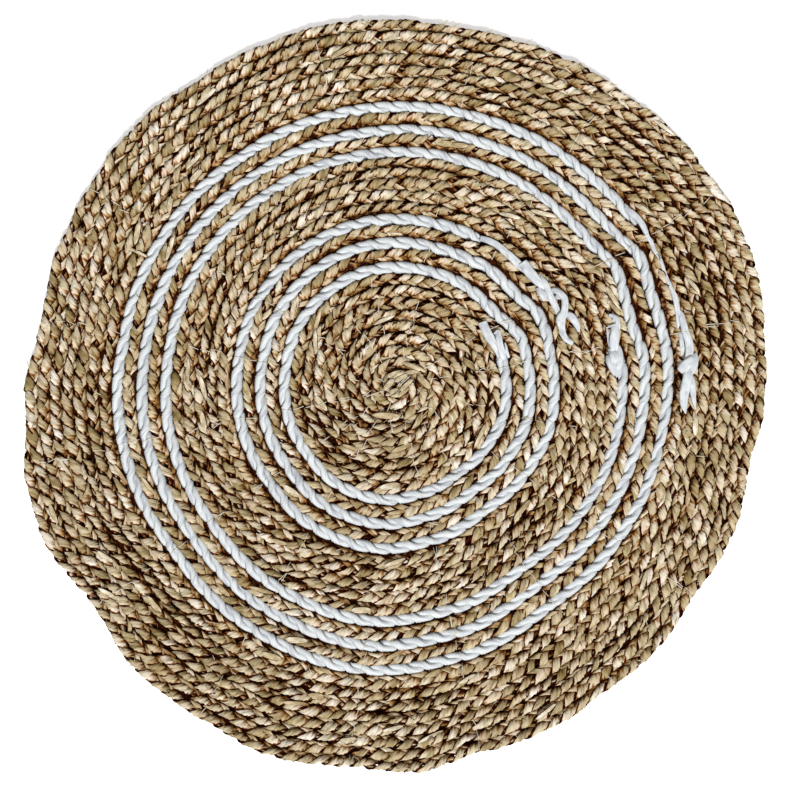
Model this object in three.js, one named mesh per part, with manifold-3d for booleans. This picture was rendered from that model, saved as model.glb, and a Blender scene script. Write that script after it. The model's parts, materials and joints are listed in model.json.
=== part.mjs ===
// A round placemat of plaited corn husk. One long husk braid is coiled flat into
// rows and sewn. Two lengths of white two-ply rope are wound in between the rows,
// three turns each, and their cut and knotted ends lie on top.
// Millimetres, +Z up. The mat lies on z = 0 and +Y is the far side.

import * as THREE from 'three';
import Module from 'manifold-3d';
import { mergeVertices } from 'three/addons/utils/BufferGeometryUtils.js';

// Driving dimensions
const ROW = 5.94;             // width of one husk row, seen from above
const ROPE_ROW = 6.12;        // room that a rope takes between two rows
const TURNS = 26 + 4 / 48;    // husk rows from the middle to the braid's end
const STEPS = 48;             // steps in one turn
const FIRST_ANGLE = 216;      // where the coil starts; it grows clockwise
const CREST = 6.75;           // height of a row's crown
const UNEVEN = 0.22;          // how much a crown rises and falls
const VALLEY = 4.7;           // height where two rows meet
const ROPE_HEIGHT = 6.3;      // height of a rope that lies between rows
const GAP = 0.35;             // air between a rope and the husk
const ROOM_EASE = 0.045;      // turns over which the rows part for a rope
const END_TAPER = 1;          // steps over which the braid's outer end thins out
const CENTRE_X = 1.02;        // middle of the coil, from the middle of the mat's box
const CENTRE_Y = 4.34;

// A rope starts and ends at a count of turns from the middle. It fills the room
// between two rows from the first step where that room is wide enough.
const INNER_START = 8.49;
const OUTER_START = INNER_START + 7.043;
const ROPES = {
  inner: { from: INNER_START, to: INNER_START + 3.07 },
  outer: { from: OUTER_START, to: OUTER_START + 3.065 },
};
const LEAST_ROOM = 0.62;      // share of ROPE_ROW that lets the rope in

// The sewing lines, as angles, and how far the rows stand out or in from a true
// spiral there: at the inner rope, the outer rope, the rim, and at the rim half
// way to the next line.
const SEWN_LINES = [
  { angle: 11, inner: 1.026, outer: 1.006, rim: 0.991, bulge: 1.006 },
  { angle: 31, inner: 1.046, outer: 1.026, rim: 1.008, bulge: 1.02 },
  { angle: 54, inner: 1.05, outer: 1.016, rim: 1.006, bulge: 0.999 },
  { angle: 77, inner: 1.041, outer: 1.006, rim: 0.994, bulge: 0.998 },
  { angle: 103, inner: 1.046, outer: 1.001, rim: 1.004, bulge: 1.0 },
  { angle: 123, inner: 1.038, outer: 0.999, rim: 0.998, bulge: 1.01 },
  { angle: 147, inner: 1.027, outer: 1.001, rim: 1.003, bulge: 0.998 },
  { angle: 169, inner: 1.006, outer: 1.004, rim: 0.984, bulge: 1.02 },
  { angle: 192, inner: 1.01, outer: 1.013, rim: 1.018, bulge: 1.024 },
  { angle: 216, inner: 1.008, outer: 1.006, rim: 0.996, bulge: 1.027 },
  { angle: 239, inner: 1.035, outer: 1.024, rim: 1.029, bulge: 1.044 },
  { angle: 263, inner: 1.037, outer: 1.039, rim: 1.024, bulge: 1.031 },
  { angle: 283, inner: 1.004, outer: 1.014, rim: 1.003, bulge: 1.004 },
  { angle: 306, inner: 0.975, outer: 0.975, rim: 0.991, bulge: 0.992 },
  { angle: 325, inner: 1.002, outer: 0.987, rim: 0.973, bulge: 0.986 },
  { angle: 347, inner: 1.03, outer: 0.992, rim: 0.971, bulge: 0.993 },
];
const INNER_RADIUS = 70.4;    // true radii at which those shares hold
const OUTER_RADIUS = 130;
const RIM_RADIUS = 188.7;

// The ends of the ropes that lie on the rows, from the middle of the coil: each
// point has the middle of the strand, its width and its thickness.
const INNER_TAIL = [
  [ // the cut ribbon that comes up out of its row
    { x: 60.4, y: 62.6, z: 5.0, width: 3.4, thick: 2.6 },
    { x: 64.4, y: 60.8, z: 7.9, width: 4.6, thick: 1.8 },
    { x: 69.5, y: 55.9, z: 8.3, width: 4.8, thick: 1.8 },
    { x: 74.6, y: 50.5, z: 8.3, width: 3.4, thick: 1.8 },
  ],
  [ // the stub below it
    { x: 78.0, y: 50.4, z: 8.4, width: 3.6, thick: 2.0 },
    { x: 74.9, y: 46.8, z: 8.3, width: 3.8, thick: 1.8 },
    { x: 73.6, y: 44.0, z: 8.2, width: 2.2, thick: 1.6 },
  ],
  [ // the long end
    { x: 74.0, y: 53.6, z: 8.4, width: 3.0, thick: 2.0 },
    { x: 78.6, y: 48.6, z: 8.4, width: 3.4, thick: 2.0 },
    { x: 81.5, y: 40.3, z: 8.3, width: 3.4, thick: 1.8 },
    { x: 82.2, y: 33.6, z: 8.3, width: 4.0, thick: 1.8 },
    { x: 84.7, y: 26.0, z: 8.3, width: 3.6, thick: 1.8 },
    { x: 89.3, y: 22.4, z: 8.2, width: 2.6, thick: 1.6 },
  ],
  [ // the loop beside it
    { x: 79.2, y: 50.2, z: 8.5, width: 3.2, thick: 1.8 },
    { x: 83.6, y: 48.4, z: 8.5, width: 3.4, thick: 1.8 },
    { x: 86.0, y: 43.0, z: 8.5, width: 3.6, thick: 1.8 },
    { x: 83.6, y: 36.4, z: 8.5, width: 3.4, thick: 1.8 },
  ],
  [ // the short end
    { x: 84.0, y: 36.6, z: 8.3, width: 2.8, thick: 1.8 },
    { x: 89.2, y: 35.0, z: 8.3, width: 3.4, thick: 1.8 },
    { x: 92.0, y: 29.2, z: 8.2, width: 2.8, thick: 1.6 },
  ],
];
const OUTER_TAIL = [
  [ // the strand that comes up to the knot
    { x: 143.2, y: 40.4, z: 4.2, width: 3.0, thick: 2.4 },
    { x: 144.8, y: 33.5, z: 5.2, width: 3.0, thick: 2.4 },
    { x: 146.8, y: 26.2, z: 8.0, width: 3.6, thick: 2.0 },
    { x: 148.6, y: 16.0, z: 8.4, width: 4.0, thick: 2.0 },
  ],
  [ // the knot
    { x: 151.8, y: 16.0, z: 8.6, width: 3.6, thick: 2.2 },
    { x: 148.6, y: 12.4, z: 8.9, width: 5.6, thick: 3.0 },
    { x: 145.6, y: 8.2, z: 8.6, width: 4.2, thick: 2.2 },
  ],
  [ // its wide end
    { x: 147.6, y: 10.0, z: 8.3, width: 4.6, thick: 1.8 },
    { x: 146.0, y: -1.6, z: 8.3, width: 4.8, thick: 1.8 },
    { x: 144.4, y: -8.6, z: 8.2, width: 3.8, thick: 1.6 },
    { x: 147.0, y: -13.4, z: 8.2, width: 1.6, thick: 1.4 },
  ],
  [ // its thin end
    { x: 149.4, y: 9.0, z: 8.3, width: 3.2, thick: 1.6 },
    { x: 150.8, y: 0.0, z: 8.3, width: 3.0, thick: 1.6 },
    { x: 152.0, y: -11.0, z: 8.2, width: 1.4, thick: 1.4 },
  ],
];
const OUTER_HOOK = [
  [ // the folded ribbon at the start of the outer rope
    { x: 113.6, y: 17.0, z: 5.0, width: 3.6, thick: 2.4 },
    { x: 111.0, y: 22.0, z: 8.1, width: 4.8, thick: 2.0 },
    { x: 110.9, y: 29.5, z: 8.2, width: 4.6, thick: 1.8 },
    { x: 111.4, y: 34.0, z: 8.2, width: 3.6, thick: 1.8 },
    { x: 109.0, y: 36.8, z: 8.1, width: 2.2, thick: 1.6 },
  ],
];
const INNER_HOOK = [
  [ // the flat cut ribbon at the start of the inner rope
    { x: 53.0, y: 15.5, z: 5.0, width: 3.2, thick: 2.4 },
    { x: 50.6, y: 20.6, z: 8.0, width: 4.2, thick: 1.8 },
    { x: 47.0, y: 26.2, z: 8.2, width: 4.8, thick: 1.8 },
    { x: 43.9, y: 32.2, z: 8.2, width: 5.0, thick: 1.8 },
  ],
  [ // the second strand's end beside it
    { x: 53.4, y: 17.4, z: 5.4, width: 3.0, thick: 2.4 },
    { x: 52.2, y: 22.4, z: 8.1, width: 3.4, thick: 1.8 },
    { x: 50.6, y: 28.2, z: 8.1, width: 2.6, thick: 1.6 },
  ],
];

// Colours
const HUSK = new THREE.MeshStandardMaterial({ color: 0xb9a67c, roughness: 0.75, metalness: 0 });
const ROPE = new THREE.MeshStandardMaterial({ color: 0xe2e5e6, roughness: 0.55, metalness: 0 });

const wasm = await Module();
wasm.setup();

// The spiral

const LAST = Math.round(TURNS * STEPS);

function ease(share) {
  const t = Math.min(Math.max(share, 0), 1);
  return t * t * (3 - 2 * t);
}

// How much of a rope's room is open beyond the row at this step, from 0 to 1.
function roomAt(step) {
  const turn = step / STEPS;
  let open = 0;
  for (const rope of Object.values(ROPES)) {
    open += ease((turn - rope.from) / ROOM_EASE) * ease((rope.to - turn) / ROOM_EASE);
  }
  return open;
}

// The inner and outer edge of the husk row at each step, before it is drawn in
// or let out at the sewing lines.
function rowEdges() {
  const edges = [];
  for (let step = 0; step <= LAST; step++) {
    if (step <= STEPS) {
      edges.push({ inner: 0, outer: ROW * step / STEPS, room: roomAt(step) });
      continue;
    }
    const within = edges[step - STEPS];
    const inner = within.outer + ROPE_ROW * within.room;
    const width = ROW * Math.min((LAST - step) / END_TAPER, 1);
    edges.push({ inner, outer: inner + width, room: roomAt(step) });
  }
  return edges;
}

function mix(a, b, share) {
  return a + (b - a) * share;
}

// How far the mat stands out or in from the true spiral at an angle and radius.
function standOut(angle, radius) {
  const count = SEWN_LINES.length;
  const turned = (angle % 360 + 360) % 360;
  let at = count - 1;
  for (let i = 0; i < count; i++) {
    if (SEWN_LINES[i].angle <= turned) at = i;
  }
  const line = SEWN_LINES[at];
  const next = SEWN_LINES[(at + 1) % count];
  const span = (next.angle - line.angle + 360) % 360;
  const share = ((turned - line.angle + 360) % 360) / span;
  const smooth = ease(share);
  const inner = mix(line.inner, next.inner, smooth);
  const outer = mix(line.outer, next.outer, smooth);
  const rim = share < 0.5
    ? mix(line.rim, line.bulge, ease(2 * share))
    : mix(line.bulge, next.rim, ease(2 * share - 1));
  if (radius < INNER_RADIUS) return inner;
  if (radius < OUTER_RADIUS) {
    return mix(inner, outer, (radius - INNER_RADIUS) / (OUTER_RADIUS - INNER_RADIUS));
  }
  return mix(outer, rim, Math.min((radius - OUTER_RADIUS) / (RIM_RADIUS - OUTER_RADIUS), 1));
}

function place(step, radius, z) {
  const angle = FIRST_ANGLE - 360 * step / STEPS;
  const real = radius * standOut(angle, radius);
  const turned = THREE.MathUtils.degToRad(angle);
  return new THREE.Vector3(
    CENTRE_X + real * Math.cos(turned), CENTRE_Y + real * Math.sin(turned), z);
}

function crownHeight(step) {
  return CREST + UNEVEN * Math.sin(0.61 * step) * Math.cos(0.173 * step);
}

// Meshes

// Collects triangles and leaves out those that have shrunk to a line.
class Faces {
  constructor() {
    this.positions = [];
  }

  triangle(a, b, c) {
    const thin = 1e-6;
    if (a.distanceTo(b) < thin || b.distanceTo(c) < thin || c.distanceTo(a) < thin) return;
    this.positions.push(...a.toArray(), ...b.toArray(), ...c.toArray());
  }

  quad(a, b, c, d) {
    this.triangle(a, b, c);
    this.triangle(a, c, d);
  }

  geometry() {
    const made = new THREE.BufferGeometry();
    made.setAttribute('position', new THREE.Float32BufferAttribute(this.positions, 3));
    return mergeVertices(made, 1e-4);
  }
}

// The coil goes clockwise, so the next step lies to the right of this one when
// the outer edge is up.
function huskCoil(edges) {
  const faces = new Faces();
  const rows = edges.map(({ inner, outer }, step) => ({
    innerLow: place(step, inner, 0),
    innerTop: place(step, inner, VALLEY),
    crown: place(step, (inner + outer) / 2, outer > inner ? crownHeight(step) : VALLEY),
    outerTop: place(step, outer, VALLEY),
    outerLow: place(step, outer, 0),
  }));
  const parted = (step) => edges[step].room > 0 || edges[step + 1].room > 0;
  for (let step = 0; step < LAST; step++) {
    const a = rows[step];
    const b = rows[step + 1];
    faces.quad(a.innerTop, b.innerTop, b.crown, a.crown);
    faces.quad(a.crown, b.crown, b.outerTop, a.outerTop);
    faces.quad(a.innerLow, a.outerLow, b.outerLow, b.innerLow);
    const outermost = step >= LAST - STEPS;
    if (outermost || parted(step)) {
      faces.quad(a.outerTop, b.outerTop, b.outerLow, a.outerLow);
    }
    if (step >= STEPS && parted(step - STEPS)) {
      faces.quad(a.innerLow, b.innerLow, b.innerTop, a.innerTop);
    }
  }
  return faces.geometry();
}

// A closed tube through rings of the same number of points, each going
// anticlockwise as seen from the tube's far end.
function tube(rings) {
  const faces = new Faces();
  const sides = rings[0].length;
  for (let i = 0; i + 1 < rings.length; i++) {
    for (let k = 0; k < sides; k++) {
      const n = (k + 1) % sides;
      faces.quad(rings[i][k], rings[i][n], rings[i + 1][n], rings[i + 1][k]);
    }
  }
  const first = rings[0];
  const last = rings[rings.length - 1];
  for (let k = 1; k + 1 < sides; k++) {
    faces.triangle(first[0], first[k + 1], first[k]);
    faces.triangle(last[0], last[k], last[k + 1]);
  }
  return faces.geometry();
}

// A rope's turns: eight sides, flat below, as wide as the room between the rows.
function ropeTurns(edges, rope) {
  const section = [
    { across: -0.5, up: 0 }, { across: 0.5, up: 0 },
    { across: 1, up: 0.3 }, { across: 1, up: 0.66 },
    { across: 0.5, up: 1 }, { across: -0.5, up: 1 },
    { across: -1, up: 0.66 }, { across: -1, up: 0.3 },
  ];
  const rings = [];
  for (let step = Math.floor(rope.from * STEPS); step <= rope.to * STEPS; step++) {
    const { outer, room } = edges[step];
    if (room < LEAST_ROOM) continue;
    const half = ROPE_ROW * room / 2;
    rings.push(section.map(({ across, up }) =>
      place(step, outer + half + across * (half - GAP), up * ROPE_HEIGHT)));
  }
  return tube(rings);
}

// A flat strand through the points of a table, with rounded sides.
function strand(points) {
  const middle = new THREE.Vector3(CENTRE_X, CENTRE_Y, 0);
  const at = points.map(({ x, y, z }) => new THREE.Vector3(x, y, z).add(middle));
  const up = new THREE.Vector3(0, 0, 1);
  const rings = points.map(({ width, thick }, i) => {
    const along = at[Math.min(i + 1, at.length - 1)].clone().sub(at[Math.max(i - 1, 0)]);
    along.z = 0;
    const side = up.clone().cross(along.normalize());
    const corner = (across, rise) => at[i].clone()
      .addScaledVector(side, across * width / 2)
      .addScaledVector(up, rise * thick / 2);
    return [
      corner(-1, 0), corner(-0.7, -1), corner(0.7, -1),
      corner(1, 0), corner(0.7, 1), corner(-0.7, 1),
    ];
  });
  return tube(rings);
}

function toManifold(geometry) {
  const mesh = new wasm.Mesh({
    numProp: 3,
    vertProperties: new Float32Array(geometry.attributes.position.array),
    triVerts: new Uint32Array(geometry.index.array),
  });
  const solid = new wasm.Manifold(mesh);
  if (solid.volume() < 0) throw new Error('a shape is inside out');
  return solid;
}

function fromManifold(solid) {
  const mesh = solid.getMesh();
  const made = new THREE.BufferGeometry();
  made.setAttribute('position', new THREE.Float32BufferAttribute(mesh.vertProperties, 3));
  made.setIndex([...mesh.triVerts]);
  return made;
}

// A rope with its ends on it, as one solid.
function wholeRope(edges, rope, ends) {
  let solid = toManifold(ropeTurns(edges, rope));
  for (const points of ends) solid = solid.add(toManifold(strand(points)));
  return fromManifold(solid);
}

function piece(name, geometry, material) {
  const mesh = new THREE.Mesh(geometry, material);
  mesh.name = name;
  return mesh;
}

const edges = rowEdges();
const mat = new THREE.Group();
mat.add(
  piece('husk_coil', huskCoil(edges), HUSK),
  piece('rope_inner', wholeRope(edges, ROPES.inner, [...INNER_HOOK, ...INNER_TAIL]), ROPE),
  piece('rope_outer', wholeRope(edges, ROPES.outer, [...OUTER_HOOK, ...OUTER_TAIL]), ROPE),
);

export default mat;
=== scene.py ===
import json
import math

import bpy
import numpy as np
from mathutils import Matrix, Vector

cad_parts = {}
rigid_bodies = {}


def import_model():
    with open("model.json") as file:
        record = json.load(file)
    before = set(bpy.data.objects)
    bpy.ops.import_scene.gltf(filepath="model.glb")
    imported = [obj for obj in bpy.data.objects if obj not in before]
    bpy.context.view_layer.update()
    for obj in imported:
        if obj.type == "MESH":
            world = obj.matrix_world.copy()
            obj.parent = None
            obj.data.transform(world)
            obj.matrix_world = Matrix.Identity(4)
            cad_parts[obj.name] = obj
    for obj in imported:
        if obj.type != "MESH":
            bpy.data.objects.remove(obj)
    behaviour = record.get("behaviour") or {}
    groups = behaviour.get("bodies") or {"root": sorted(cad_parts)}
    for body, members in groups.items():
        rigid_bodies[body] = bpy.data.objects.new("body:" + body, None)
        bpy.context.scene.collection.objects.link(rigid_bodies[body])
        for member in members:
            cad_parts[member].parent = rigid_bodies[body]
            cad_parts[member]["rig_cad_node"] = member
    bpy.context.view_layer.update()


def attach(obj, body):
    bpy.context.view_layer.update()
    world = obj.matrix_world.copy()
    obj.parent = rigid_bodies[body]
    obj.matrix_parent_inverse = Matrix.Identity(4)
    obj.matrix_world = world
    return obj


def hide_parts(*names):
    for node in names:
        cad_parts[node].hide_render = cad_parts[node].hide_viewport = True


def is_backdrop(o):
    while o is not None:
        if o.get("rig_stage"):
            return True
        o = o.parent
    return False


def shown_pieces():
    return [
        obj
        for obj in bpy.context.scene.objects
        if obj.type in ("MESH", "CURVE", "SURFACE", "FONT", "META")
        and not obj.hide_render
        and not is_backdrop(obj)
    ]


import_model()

bl_info = {
    "name": "Corn husk placemat",
    "version": (1, 0, 0),
    "blender": (4, 5, 0),
    "location": "View3D > Sidebar > Placemat",
    "description": "Plaits, ropes, thread and loose ends of a coiled corn husk placemat",
    "category": "Add Mesh",
}

# The coil. Lengths in this script are millimetres until a mesh is made.
MM = 0.001
ROW = 5.94                # width of a husk row
ROPE_ROW = 6.12           # room that a rope takes between two rows
TURNS = 26 + 4 / 48       # husk rows from the middle to the braid's end
STEPS = 48                # steps in one turn of the tables below
FIRST_ANGLE = 216         # where the coil starts, in degrees; it grows clockwise
ROOM_EASE = 0.045         # turns over which the rows part for a rope
END_TAPER = 1             # steps over which the braid's outer end thins out
CENTRE = (1.02, 4.34)     # middle of the coil, from the middle of the mat
INNER_START = 8.49        # turns from the middle at which each rope starts
OUTER_START = INNER_START + 7.043
ROPES = {
    "inner": (INNER_START, INNER_START + 3.07),
    "outer": (OUTER_START, OUTER_START + 3.065),
}
INNER_RADIUS = 70.4       # true radii at which the shares of SEWN_LINES hold
OUTER_RADIUS = 130
RIM_RADIUS = 188.7

# The sewing lines, as angles in degrees, and how far the rows stand out or in
# from a true spiral there: at the inner rope, the outer rope, the rim, and at the
# rim half way to the next line.
SEWN_LINES = (
    # angle, inner, outer, rim, bulge
    (11, 1.026, 1.006, 0.991, 1.006),
    (31, 1.046, 1.026, 1.008, 1.02),
    (54, 1.05, 1.016, 1.006, 0.999),
    (77, 1.041, 1.006, 0.994, 0.998),
    (103, 1.046, 1.001, 1.004, 1.0),
    (123, 1.038, 0.999, 0.998, 1.01),
    (147, 1.027, 1.001, 1.003, 0.998),
    (169, 1.006, 1.004, 0.984, 1.02),
    (192, 1.01, 1.013, 1.018, 1.024),
    (216, 1.008, 1.006, 0.996, 1.027),
    (239, 1.035, 1.024, 1.029, 1.044),
    (263, 1.037, 1.039, 1.024, 1.031),
    (283, 1.004, 1.014, 1.003, 1.004),
    (306, 0.975, 0.975, 0.991, 0.992),
    (325, 1.002, 0.987, 0.973, 0.986),
    (347, 1.03, 0.992, 0.971, 0.993),
)

# The husk plait. In the plait's section each strand runs round a figure of eight: out
# over the top to one edge, back underneath, and out over the top to the other edge.
SWAY = 2.5                # how far the path reaches from the plait's middle
WEAVE = 1.05              # how far the path rises over and dips under the plait's middle
FLAT_TOP = 1.9            # how flat the figure of eight is above and below
HEIGHT_WRAP = 0.5         # how much of a strand's width follows the path up and down
SWAY_TURNS = 0.06         # how much sharper than a wave the path turns at both edges
RIM_LEAN = 5.0            # degrees by which the plait leans more towards the rim
RIM_STARTS = (18.5, 3)    # turns from the middle at which the rim's look starts, and takes
OUTER_LANE = (0.4, 0.5)   # how much wider the plait's outer lane is, in the middle and at the rim
LANE_SHIFT = 1.0          # how far the wider lane moves the plait inwards
SHINGLE = 0.32            # how far a strand's leading side lies over the strand ahead
PLAIT_HEIGHT = 3.7        # middle of the plait above the table
STEPS_PER_PERIOD = 17
LEAF_CENTRE = 0.27        # where in half a period the strand shows best
LEAF_CHANGES = (0.68, 0.28)  # where in half a period one leaf gives way to the next, and over what
LEAF_TONE = 0.62          # share of a leaf's tone that is its own; the rest drifts along the strand
DARK_BAND = (1.0, 0.8)    # painted shade: a strand is painted darker this near to the plait's middle height, over this
STRAND_SECTION = (        # half of a strand's section: across, and through
    (1.0, 0.4), (0.92, 0.96), (0.3, 1.0), (-0.3, 1.0), (-0.92, 0.96), (-1.0, 0.4),
)
END_LENGTH = 22.0         # length over which the plait's outer end thins out
END_SIZE = 0.2            # what is left of its size there
PLAIT_START = 0.32        # turns from the middle at which the plait's strands start
RINGS = (                 # turns at which one mesh of the plait ends and the next starts
    ("husk_plait_middle", PLAIT_START, 11.4),
    ("husk_plait_inner", 11.4, 15.6),
    ("husk_plait_bands", 15.6, 19.4),
    ("husk_plait_outer", 19.4, 22.8),
    ("husk_plait_rim", 22.8, TURNS),
)

# The inside of the rows, seen between the strands: its heights above the table
CORE_LOW = 1.2
SLOT_LOW = 2.0            # underside of the web below a rope
CORE_VALLEY = 2.4         # where two rows meet
CORE_CROWN = 3.6
CORE_INSET = 2.6          # how far inside the row's outer edge it ends at the rim
CORE_INSET_STEPS = 4      # steps over which it draws back there

# The rope
PLY_ORBIT = 1.45          # middle of a ply from the middle of the rope
PLY_THICKNESS = 3.5
ROPE_HEIGHT = 3.6         # middle of the rope above the table
ENDS_SINK = 1.3           # how much lower a rope's twist lies at both its ends
ENDS_EASE = 6.0           # length over which the twist sinks and narrows
ENDS_SIZE = 0.5           # what is left of its size there
CROSSING_EASE = 0.3       # how much the plies draw out where they cross
PLY_STEPS = 14            # steps in one pitch
PLY_SIDES = 10
PLY_TONE = 0.6
PLY_DARK_BELOW = (4.4, 3.6)  # painted shade: a ply is painted darker below this height, over this
PINCH = 0.16              # how much a stitch narrows the rope
PINCH_LENGTH = 1.8
TWIST_STARTS = {          # turns by which the twist stops short of each end of its slot
    "inner": (0.05, 0.127),
    "outer": (0.043, 0.093),
}
CLOSED_UP = 2.9           # how far the rows close on a slot where no twist lies in it
CLOSING_EASE = 0.016      # turns over which they do so
CLOSING_REACH = 20.0      # how far from the slot the rows still move

# What drifts along the strands: by how much either way, over what length in
# millimetres, and a seed. A strand that drifts alone adds its own number to the seed.
DRIFTS = {
    "crossings": (2.8, 61, 11),
    "near crossings": (1.8, 19, 12),
    "strand's crossings": (1.6, 15, 20),
    "plait width": (0.12, 29, 13),
    "lean": (14, 47, 14),
    "short lean": (8, 13, 15),
    "plait height": (0.3, 31, 16),
    "strand sideways": (0.3, 9, 40),
    "plait sideways": (0.35, 17, 44),
    "leading edge": (0.5, 5, 46),
    "strand width": (0.1, 5, 75),
    "strand thickness": (0.2, 11, 80),
    "strand tone": (0.5, 70, 100),
    "rope turns": (1.8, 53, 211),
    "rope width": (0.06, 27, 212),
    "rope height": (0.2, 41, 213),
    "ply width": (0.07, 13, 220),
    "ply thickness": (0.06, 17, 230),
    "ply tone": (0.4, 45, 240),
    "ribbon turn": (0.18, 5, 300),
    "ribbon width": (0.06, 3, 310),
    "ribbon wrinkle": (1, 2.2, 3000),
}

# Seeds of the other chances. A fray adds its own number to its two.
SEEDS = {
    "loose leaves": 400,
    "frays": 401,
    "fray bend": 500,
    "stitches": 600,
    "fray lift": 1500,
}

# What changes from leaf to leaf of a strand: from, to, and a seed
LEAF_CHANCES = {
    "width": (0.66, 1.2, 70),
    "crease": (-0.5, 0.6, 85),
    "height": (-0.3, 0.35, 50),
    "tilt": (-14, 14, 60),
    "tone": (0, 1, 90),
}

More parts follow.
